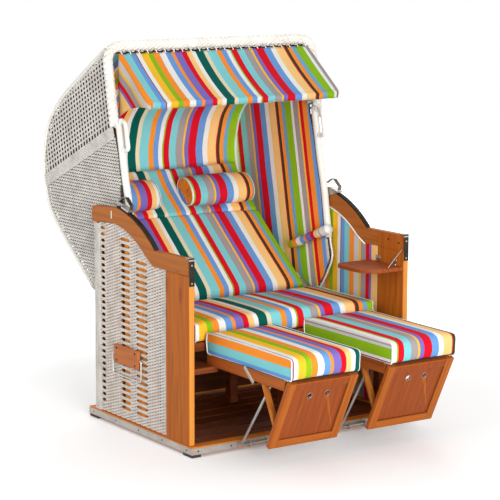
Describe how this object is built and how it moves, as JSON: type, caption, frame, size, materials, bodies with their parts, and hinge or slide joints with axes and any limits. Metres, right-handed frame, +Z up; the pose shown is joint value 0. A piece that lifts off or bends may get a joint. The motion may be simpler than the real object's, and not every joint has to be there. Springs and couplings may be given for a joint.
{
  "type": "hooded beach chair",
  "caption": "Hooded two-seat woven beach chair with a reclining hood, striped cushions, a folding awning, a side table and pull-out footrests.",
  "frame": {"origin": "centre of the footprint of the whole chair at rest, on the floor", "axes": "+X to the sitter's left hand side of the picture's right, +Y to the rear, +Z up; the seat faces -Y"},
  "size_m": [1.1486, 1.8024, 1.6466],
  "materials": {
    "oiled_wood": "oiled softwood, satin",
    "shaded_wood": "oiled softwood",
    "white_weave": "woven plastic strand",
    "striped_cloth": "striped outdoor cloth",
    "steel": "bare stainless steel",
    "dark_steel": "blackened steel",
    "black_plastic": "moulded"
  },
  "bodies": {
    "root": {"base_frame": "oiled_wood", "floor_slats": "shaded_wood", "glide_front_left": "black_plastic", "glide_front_right": "black_plastic", "glide_rear_left": "black_plastic", "glide_rear_right": "black_plastic", "front_board_left": "oiled_wood", "front_board_right": "oiled_wood", "arm_rail_left": "oiled_wood", "arm_rail_right": "oiled_wood", "side_weave_left": "white_weave", "side_weave_right": "white_weave", "side_lattice_left": "shaded_wood", "side_lattice_right": "shaded_wood", "side_lining_left": "striped_cloth", "side_lining_right": "striped_cloth", "toothed_strip_left": "dark_steel", "toothed_strip_right": "dark_steel", "handle_plate_left": "oiled_wood", "handle_plate_right": "oiled_wood", "rear_weave": "white_weave", "seat_frame": "oiled_wood", "seat_board": "oiled_wood", "seat_cushion": "striped_cloth", "pivot_rod": "steel", "bow_hanger": "steel", "table_stay": "steel"},
    "hood": {"hood_side_left": "white_weave", "hood_side_right": "white_weave", "hood_back": "white_weave", "hood_border": "white_weave", "hood_grip_left": "steel", "hood_grip_right": "steel", "hood_lining": "striped_cloth", "hood_rail": "oiled_wood", "back_cushion": "striped_cloth", "head_pillow_left": "striped_cloth", "head_pillow_right": "striped_cloth", "arm_pad_left": "striped_cloth", "arm_pad_right": "striped_cloth", "clamp_left": "steel", "clamp_right": "steel", "awning_cloth": "striped_cloth"},
    "awning": {"awning_bow": "steel"},
    "table": {"table_board": "oiled_wood"},
    "bail_left": {"carry_bail_left": "steel"},
    "lever_left": {"clamp_lever_left": "steel"},
    "bail_right": {"carry_bail_right": "steel"},
    "lever_right": {"clamp_lever_right": "steel"},
    "footrest_left": {"footrest_frame_left": "oiled_wood", "footrest_cushion_left": "striped_cloth"},
    "panel_left": {"footrest_panel_left": "oiled_wood"},
    "brace_left": {"footrest_brace_left": "oiled_wood"},
    "bow_left": {"footrest_bow_left": "steel"},
    "footrest_right": {"footrest_frame_right": "oiled_wood", "footrest_cushion_right": "striped_cloth"},
    "panel_right": {"footrest_panel_right": "oiled_wood"},
    "brace_right": {"footrest_brace_right": "oiled_wood"},
    "bow_right": {"footrest_bow_right": "steel"}
  },
  "joints": [
    {"name": "hood_recline", "type": "hinge", "parent": "root", "child": "hood", "pos_m": [0, 0.2552, 0.41], "axis": [1, 0, 0], "range_deg": [0, 25]},
    {"name": "awning_fold", "type": "hinge", "parent": "hood", "child": "awning", "pos_m": [0, 0.27672, 1.31503], "axis": [-1, 0, 0], "range_deg": [0, 60], "deforming": ["awning_cloth"]},
    {"name": "table_fold", "type": "hinge", "parent": "root", "child": "table", "pos_m": [0.5315, -0.3448, 0.68], "axis": [0, 1, 0], "range_deg": [0, 85], "deforming": ["table_stay"]},
    {"name": "carry_bail_left", "type": "hinge", "parent": "root", "child": "bail_left", "pos_m": [-0.5673, 0.0952, 0.33], "axis": [0, 1, 0], "range_deg": [0, 80]},
    {"name": "clamp_lever_left", "type": "hinge", "parent": "hood", "child": "lever_left", "pos_m": [-0.5415, 0.09358, 0.95562], "axis": [1, 0, 0], "range_deg": [0, 70]},
    {"name": "carry_bail_right", "type": "hinge", "parent": "root", "child": "bail_right", "pos_m": [0.5673, 0.0952, 0.33], "axis": [0, -1, 0], "range_deg": [0, 80]},
    {"name": "clamp_lever_right", "type": "hinge", "parent": "hood", "child": "lever_right", "pos_m": [0.5415, 0.09358, 0.95562], "axis": [1, 0, 0], "range_deg": [0, 70]},
    {"name": "footrest_slide_left", "type": "slide", "parent": "root", "child": "footrest_left", "axis": [0, 1, 0], "range_m": [0, 0.44], "deforming": ["footrest_cushion_left"]},
    {"name": "panel_fold_left", "type": "hinge", "parent": "footrest_left", "child": "panel_left", "pos_m": [-0.254, -0.8838, 0.389], "axis": [-1, 0, 0], "range_deg": [0, 26.4]},
    {"name": "brace_fold_left", "type": "hinge", "parent": "panel_left", "child": "brace_left", "pos_m": [-0.254, -0.76842, 0.19504], "axis": [1, 0, 0], "range_deg": [0, 53.4]},
    {"name": "bow_swing_left", "type": "hinge", "parent": "root", "child": "bow_left", "pos_m": [-0.254, -0.4308, 0.03], "axis": [-1, 0, 0], "range_deg": [0, 66.93]},
    {"name": "footrest_slide_right", "type": "slide", "parent": "root", "child": "footrest_right", "axis": [0, 1, 0], "range_m": [0, 0.417], "deforming": ["footrest_cushion_right"]},
    {"name": "panel_fold_right", "type": "hinge", "parent": "footrest_right", "child": "panel_right", "pos_m": [0.254, -0.8608, 0.389], "axis": [-1, 0, 0], "range_deg": [0, 26.4]},
    {"name": "brace_fold_right", "type": "hinge", "parent": "panel_right", "child": "brace_right", "pos_m": [0.254, -0.74542, 0.19504], "axis": [1, 0, 0], "range_deg": [0, 53.4]},
    {"name": "bow_swing_right", "type": "hinge", "parent": "root", "child": "bow_right", "pos_m": [0.254, -0.4308, 0.03], "axis": [-1, 0, 0], "range_deg": [0, 62.94]}
  ],
  "couplings": [
    {"joint": "panel_fold_left", "follows": "footrest_slide_left", "rad_per_m": 1.0432},
    {"joint": "brace_fold_left", "follows": "footrest_slide_left", "rad_per_m": 2.1142},
    {"joint": "bow_swing_left", "follows": "footrest_slide_left", "rad_per_m": 2.6509},
    {"joint": "panel_fold_right", "follows": "footrest_slide_right", "rad_per_m": 1.1008},
    {"joint": "brace_fold_right", "follows": "footrest_slide_right", "rad_per_m": 2.2308},
    {"joint": "bow_swing_right", "follows": "footrest_slide_right", "rad_per_m": 2.6301}
  ]
}
